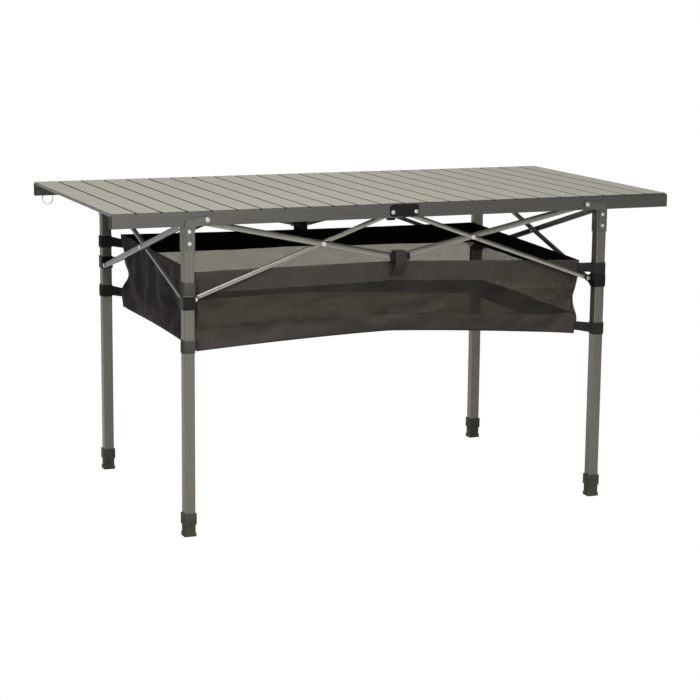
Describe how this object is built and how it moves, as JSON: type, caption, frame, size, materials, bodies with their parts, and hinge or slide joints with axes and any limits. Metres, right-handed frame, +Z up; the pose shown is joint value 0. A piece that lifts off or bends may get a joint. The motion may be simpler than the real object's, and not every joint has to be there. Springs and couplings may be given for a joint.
{
  "type": "folding camp table",
  "caption": "Folding camp kitchen table with a roll-up slatted top, scissor frame on square legs, sliding collars, hinged rails and a fabric mesh storage basket.",
  "frame": {"origin": "on the floor under the centre of the table", "axes": "+X along the long side, +Y towards the back, +Z up"},
  "size_m": [1.4, 0.705, 0.745],
  "materials": {
    "leg_tube": "satin grey anodised",
    "foot": "moulded black",
    "sleeve": "moulded black",
    "plate": "satin, bright rivets",
    "slider": "moulded black",
    "rail": "satin grey anodised",
    "bar": "satin grey anodised",
    "hub": "moulded black",
    "slat": "brushed warm grey anodised",
    "ring": "plain wire",
    "basket": "woven band and mesh",
    "strap": "hook and loop tape"
  },
  "bodies": {
    "leg_front_left": {"leg_tube_front_left": "leg_tube", "foot_front_left": "foot", "top_sleeve_front_left": "sleeve", "corner_plate_front_left": "plate", "leg_straps_front_left": "strap", "basket_walls": "basket"},
    "slider_front_left": {"slider_front_left": "slider"},
    "rail_front_left": {"rail_front_left": "rail"},
    "long_bar_slider_front_left": {"long_bar_slider_front_left": "bar"},
    "long_bar_top_front_left": {"long_bar_top_front_left": "bar"},
    "leg_front_right": {"leg_tube_front_right": "leg_tube", "foot_front_right": "foot", "top_sleeve_front_right": "sleeve", "corner_plate_front_right": "plate", "leg_straps_front_right": "strap"},
    "slider_front_right": {"slider_front_right": "slider"},
    "rail_front_right": {"rail_front_right": "rail"},
    "long_bar_slider_front_right": {"long_bar_slider_front_right": "bar"},
    "long_bar_top_front_right": {"long_bar_top_front_right": "bar"},
    "leg_back_left": {"leg_tube_back_left": "leg_tube", "foot_back_left": "foot", "top_sleeve_back_left": "sleeve", "corner_plate_back_left": "plate", "leg_straps_back_left": "strap"},
    "slider_back_left": {"slider_back_left": "slider"},
    "rail_back_left": {"rail_back_left": "rail", "hanging_ring": "ring"},
    "long_bar_slider_back_left": {"long_bar_slider_back_left": "bar"},
    "long_bar_top_back_left": {"long_bar_top_back_left": "bar"},
    "leg_back_right": {"leg_tube_back_right": "leg_tube", "foot_back_right": "foot", "top_sleeve_back_right": "sleeve", "corner_plate_back_right": "plate", "leg_straps_back_right": "strap"},
    "slider_back_right": {"slider_back_right": "slider"},
    "rail_back_right": {"rail_back_right": "rail"},
    "long_bar_slider_back_right": {"long_bar_slider_back_right": "bar"},
    "long_bar_top_back_right": {"long_bar_top_back_right": "bar"},
    "rail_hinge_plate_front": {"rail_hinge_plate_front": "plate"},
    "hub_front": {"hub_front": "hub"},
    "centre_block_front": {"centre_block_front": "hub"},
    "basket_floor_front": {"basket_floor_front": "basket"},
    "rail_hinge_plate_back": {"rail_hinge_plate_back": "plate"},
    "hub_back": {"hub_back": "hub"},
    "centre_block_back": {"centre_block_back": "hub"},
    "basket_floor_back": {"basket_floor_back": "basket"},
    "end_bar_front_top_left": {"end_bar_front_top_left": "bar"},
    "end_bar_back_top_left": {"end_bar_back_top_left": "bar"},
    "end_bar_front_top_right": {"end_bar_front_top_right": "bar"},
    "end_bar_back_top_right": {"end_bar_back_top_right": "bar"},
    "top_section_01": {"top_section_01": "slat"},
    "top_section_02": {"top_section_02": "slat"},
    "top_section_03": {"top_section_03": "slat"},
    "top_section_04": {"top_section_04": "slat"},
    "top_section_05": {"top_section_05": "slat"},
    "top_section_06": {"top_section_06": "slat"},
    "top_section_07": {"top_section_07": "slat"},
    "top_section_08": {"top_section_08": "slat"},
    "top_section_09": {"top_section_09": "slat"},
    "top_section_10": {"top_section_10": "slat"}
  },
  "joints": [
    {"name": "frame_fold", "type": "hinge", "parent": "leg_front_left", "child": "rail_front_left", "pos_m": [-0.479, -0.3395, 0.725], "axis": [0, 1, 0], "range_deg": [0, 90], "deforming": ["basket_walls", "basket_floor_front", "basket_floor_back", "leg_straps_front_left", "leg_straps_front_right", "leg_straps_back_left", "leg_straps_back_right"]},
    {"name": "rail_centre_left_front", "type": "hinge", "parent": "rail_front_left", "child": "rail_hinge_plate_front", "pos_m": [-0.029, -0.3395, 0.725], "axis": [0, 1, 0], "range_deg": [-90, 0]},
    {"name": "rail_centre_right_front", "type": "hinge", "parent": "rail_hinge_plate_front", "child": "rail_front_right", "pos_m": [0.029, -0.3395, 0.725], "axis": [0, 1, 0], "range_deg": [-90, 0]},
    {"name": "rail_pivot_front_right", "type": "hinge", "parent": "rail_front_right", "child": "leg_front_right", "pos_m": [0.479, -0.3395, 0.725], "axis": [0, 1, 0], "range_deg": [0, 90]},
    {"name": "bar_top_pivot_front_left", "type": "hinge", "parent": "leg_front_left", "child": "long_bar_top_front_left", "pos_m": [-0.499, -0.3205, 0.72], "axis": [0, 1, 0], "range_deg": [0, 74.08]},
    {"name": "bar_crossing_front_left", "type": "hinge", "parent": "long_bar_top_front_left", "child": "long_bar_slider_front_left", "pos_m": [-0.19, -0.3155, 0.655], "axis": [0, 1, 0], "range_deg": [-140.26, 0]},
    {"name": "bar_top_pivot_front_right", "type": "hinge", "parent": "leg_front_right", "child": "long_bar_top_front_right", "pos_m": [0.499, -0.3105, 0.72], "axis": [0, 1, 0], "range_deg": [-74.08, 0]},
    {"name": "bar_crossing_front_right", "type": "hinge", "parent": "long_bar_top_front_right", "child": "long_bar_slider_front_right", "pos_m": [0.19, -0.3155, 0.655], "axis": [0, 1, 0], "range_deg": [0, 140.26]},
    {"name": "hub_pivot_front", "type": "hinge", "parent": "long_bar_slider_front_left", "child": "hub_front", "pos_m": [-0.014, -0.3105, 0.71879], "axis": [0, 1, 0], "range_deg": [0, 66.19]},
    {"name": "centre_block_pivot_front", "type": "hinge", "parent": "long_bar_top_front_left", "child": "centre_block_front", "pos_m": [-0.014, -0.3205, 0.61798], "axis": [0, 1, 0], "range_deg": [-74.08, 0]},
    {"name": "rail_pivot_back_left", "type": "hinge", "parent": "leg_back_left", "child": "rail_back_left", "pos_m": [-0.479, 0.3395, 0.725], "axis": [0, 1, 0], "range_deg": [0, 90]},
    {"name": "rail_centre_left_back", "type": "hinge", "parent": "rail_back_left", "child": "rail_hinge_plate_back", "pos_m": [-0.029, 0.3395, 0.725], "axis": [0, 1, 0], "range_deg": [-90, 0]},
    {"name": "rail_centre_right_back", "type": "hinge", "parent": "rail_hinge_plate_back", "child": "rail_back_right", "pos_m": [0.029, 0.3395, 0.725], "axis": [0, 1, 0], "range_deg": [-90, 0]},
    {"name": "rail_pivot_back_right", "type": "hinge", "parent": "rail_back_right", "child": "leg_back_right", "pos_m": [0.479, 0.3395, 0.725], "axis": [0, 1, 0], "range_deg": [0, 90]},
    {"name": "bar_top_pivot_back_left", "type": "hinge", "parent": "leg_back_left", "child": "long_bar_top_back_left", "pos_m": [-0.499, 0.3205, 0.72], "axis": [0, 1, 0], "range_deg": [0, 74.08]},
    {"name": "bar_crossing_back_left", "type": "hinge", "parent": "long_bar_top_back_left", "child": "long_bar_slider_back_left", "pos_m": [-0.19, 0.3155, 0.655], "axis": [0, 1, 0], "range_deg": [-140.26, 0]},
    {"name": "bar_top_pivot_back_right", "type": "hinge", "parent": "leg_back_right", "child": "long_bar_top_back_right", "pos_m": [0.499, 0.3105, 0.72], "axis": [0, 1, 0], "range_deg": [-74.08, 0]},
    {"name": "bar_crossing_back_right", "type": "hinge", "parent": "long_bar_top_back_right", "child": "long_bar_slider_back_right", "pos_m": [0.19, 0.3155, 0.655], "axis": [0, 1, 0], "range_deg": [0, 140.26]},
    {"name": "hub_pivot_back", "type": "hinge", "parent": "long_bar_slider_back_left", "child": "hub_back", "pos_m": [-0.014, 0.3105, 0.71879], "axis": [0, 1, 0], "range_deg": [0, 66.19]},
    {"name": "centre_block_pivot_back", "type": "hinge", "parent": "long_bar_top_back_left", "child": "centre_block_back", "pos_m": [-0.014, 0.3205, 0.61798], "axis": [0, 1, 0], "range_deg": [-74.08, 0]},
    {"name": "end_bar_pivot_front_left", "type": "hinge", "parent": "leg_front_left", "child": "end_bar_front_top_left", "pos_m": [-0.527, -0.313, 0.709], "axis": [1, 0, 0], "range_deg": [-65.42, 0]},
    {"name": "end_bar_crossing_left", "type": "hinge", "parent": "end_bar_front_top_left", "child": "end_bar_back_top_left", "pos_m": [-0.52175, 0, 0.6205], "axis": [1, 0, 0], "range_deg": [0, 130.83]},
    {"name": "end_bar_pivot_back_left", "type": "hinge", "parent": "end_bar_back_top_left", "child": "leg_back_left", "pos_m": [-0.5165, 0.313, 0.709], "axis": [1, 0, 0], "range_deg": [-65.42, 0]},
    {"name": "slider_pivot_front_left", "type": "hinge", "parent": "end_bar_back_top_left", "child": "slider_front_left", "pos_m": [-0.5165, -0.313, 0.532], "axis": [1, 0, 0], "range_deg": [-65.42, 0]},
    {"name": "slider_pivot_back_left", "type": "hinge", "parent": "end_bar_front_top_left", "child": "slider_back_left", "pos_m": [-0.527, 0.313, 0.532], "axis": [1, 0, 0], "range_deg": [0, 65.42]},
    {"name": "end_bar_pivot_front_right", "type": "hinge", "parent": "leg_front_right", "child": "end_bar_front_top_right", "pos_m": [0.527, -0.313, 0.709], "axis": [1, 0, 0], "range_deg": [-65.42, 0]},
    {"name": "end_bar_crossing_right", "type": "hinge", "parent": "end_bar_front_top_right", "child": "end_bar_back_top_right", "pos_m": [0.52175, 0, 0.6205], "axis": [1, 0, 0], "range_deg": [0, 130.83]},
    {"name": "slider_pivot_front_right", "type": "hinge", "parent": "end_bar_back_top_right", "child": "slider_front_right", "pos_m": [0.5165, -0.313, 0.532], "axis": [1, 0, 0], "range_deg": [-65.42, 0]},
    {"name": "slider_pivot_back_right", "type": "hinge", "parent": "end_bar_front_top_right", "child": "slider_back_right", "pos_m": [0.527, 0.313, 0.532], "axis": [1, 0, 0], "range_deg": [0, 65.42]},
    {"name": "basket_floor_fold_front", "type": "hinge", "parent": "leg_front_left", "child": "basket_floor_front", "pos_m": [0, -0.297, 0.4215], "axis": [-1, 0, 0], "range_deg": [0, 90]},
    {"name": "basket_floor_fold_back", "type": "hinge", "parent": "leg_back_left", "child": "basket_floor_back", "pos_m": [0, 0.297, 0.4215], "axis": [1, 0, 0], "range_deg": [0, 90]},
    {"name": "tabletop_lift", "type": "slide", "parent": "leg_front_left", "child": "top_section_01", "axis": [0, 0, 1], "range_m": [0, 0.393]},
    {"name": "tabletop_joint_01", "type": "hinge", "parent": "top_section_01", "child": "top_section_02", "pos_m": [-0.525, 0, 0.745], "axis": [0, -1, 0], "range_deg": [0, 33.5]},
    {"name": "tabletop_roll", "type": "hinge", "parent": "top_section_02", "child": "top_section_03", "pos_m": [-0.35, 0, 0.745], "axis": [0, -1, 0], "range_deg": [0, 115]},
    {"name": "tabletop_joint_03", "type": "hinge", "parent": "top_section_03", "child": "top_section_04", "pos_m": [-0.175, 0, 0.745], "axis": [0, -1, 0], "range_deg": [0, 52.4]},
    {"name": "tabletop_joint_04", "type": "hinge", "parent": "top_section_04", "child": "top_section_05", "pos_m": [0, 0, 0.745], "axis": [0, -1, 0], "range_deg": [0, 75.91]},
    {"name": "tabletop_joint_05", "type": "hinge", "parent": "top_section_05", "child": "top_section_06", "pos_m": [0.11667, 0, 0.745], "axis": [0, -1, 0], "range_deg": [0, 83.81]},
    {"name": "tabletop_joint_06", "type": "hinge", "parent": "top_section_06", "child": "top_section_07", "pos_m": [0.23333, 0, 0.745], "axis": [0, -1, 0], "range_deg": [0, 33.7]},
    {"name": "tabletop_joint_07", "type": "hinge", "parent": "top_section_07", "child": "top_section_08", "pos_m": [0.35, 0, 0.745], "axis": [0, -1, 0], "range_deg": [0, 87.3]},
    {"name": "tabletop_joint_08", "type": "hinge", "parent": "top_section_08", "child": "top_section_09", "pos_m": [0.46667, 0, 0.745], "axis": [0, -1, 0], "range_deg": [0, 97.41]},
    {"name": "tabletop_joint_09", "type": "hinge", "parent": "top_section_09", "child": "top_section_10", "pos_m": [0.58333, 0, 0.745], "axis": [0, -1, 0], "range_deg": [0, 115]}
  ],
  "couplings": [
    {"joint": "rail_centre_left_front", "follows": "frame_fold", "ratio": -1},
    {"joint": "rail_centre_right_front", "follows": "frame_fold", "ratio": -1},
    {"joint": "rail_pivot_front_right", "follows": "frame_fold", "ratio": 1},
    {"joint": "bar_top_pivot_front_left", "follows": "frame_fold", "ratio": 0.82301},
    {"joint": "bar_crossing_front_left", "follows": "frame_fold", "ratio": -1.5584},
    {"joint": "bar_top_pivot_front_right", "follows": "frame_fold", "ratio": -0.82301},
    {"joint": "bar_crossing_front_right", "follows": "frame_fold", "ratio": 1.5584},
    {"joint": "hub_pivot_front", "follows": "frame_fold", "ratio": 0.7354},
    {"joint": "centre_block_pivot_front", "follows": "frame_fold", "ratio": -0.82301},
    {"joint": "rail_pivot_back_left", "follows": "frame_fold", "ratio": 1},
    {"joint": "rail_centre_left_back", "follows": "frame_fold", "ratio": -1},
    {"joint": "rail_centre_right_back", "follows": "frame_fold", "ratio": -1},
    {"joint": "rail_pivot_back_right", "follows": "frame_fold", "ratio": 1},
    {"joint": "bar_top_pivot_back_left", "follows": "frame_fold", "ratio": 0.82301},
    {"joint": "bar_crossing_back_left", "follows": "frame_fold", "ratio": -1.5584},
    {"joint": "bar_top_pivot_back_right", "follows": "frame_fold", "ratio": -0.82301},
    {"joint": "bar_crossing_back_right", "follows": "frame_fold", "ratio": 1.5584},
    {"joint": "hub_pivot_back", "follows": "frame_fold", "ratio": 0.7354},
    {"joint": "centre_block_pivot_back", "follows": "frame_fold", "ratio": -0.82301},
    {"joint": "end_bar_pivot_front_left", "follows": "frame_fold", "ratio": -0.72683},
    {"joint": "end_bar_crossing_left", "follows": "frame_fold", "ratio": 1.4537},
    {"joint": "end_bar_pivot_back_left", "follows": "frame_fold", "ratio": -0.72683},
    {"joint": "slider_pivot_front_left", "follows": "frame_fold", "ratio": -0.72683},
    {"joint": "slider_pivot_back_left", "follows": "frame_fold", "ratio": 0.72683},
    {"joint": "end_bar_pivot_front_right", "follows": "frame_fold", "ratio": -0.72683},
    {"joint": "end_bar_crossing_right", "follows": "frame_fold", "ratio": 1.4537},
    {"joint": "slider_pivot_front_right", "follows": "frame_fold", "ratio": -0.72683},
    {"joint": "slider_pivot_back_right", "follows": "frame_fold", "ratio": 0.72683},
    {"joint": "basket_floor_fold_front", "follows": "frame_fold", "ratio": 1},
    {"joint": "basket_floor_fold_back", "follows": "frame_fold", "ratio": 1},
    {"joint": "tabletop_lift", "follows": "frame_fold", "m_per_rad": 0.25},
    {"joint": "tabletop_joint_01", "follows": "tabletop_roll", "ratio": 0.2913},
    {"joint": "tabletop_joint_03", "follows": "tabletop_roll", "ratio": 0.45565},
    {"joint": "tabletop_joint_04", "follows": "tabletop_roll", "ratio": 0.66},
    {"joint": "tabletop_joint_05", "follows": "tabletop_roll", "ratio": 0.7287},
    {"joint": "tabletop_joint_06", "follows": "tabletop_roll", "ratio": 0.29304},
    {"joint": "tabletop_joint_07", "follows": "tabletop_roll", "ratio": 0.75913},
    {"joint": "tabletop_joint_08", "follows": "tabletop_roll", "ratio": 0.84696},
    {"joint": "tabletop_joint_09", "follows": "tabletop_roll", "ratio": 1}
  ]
}
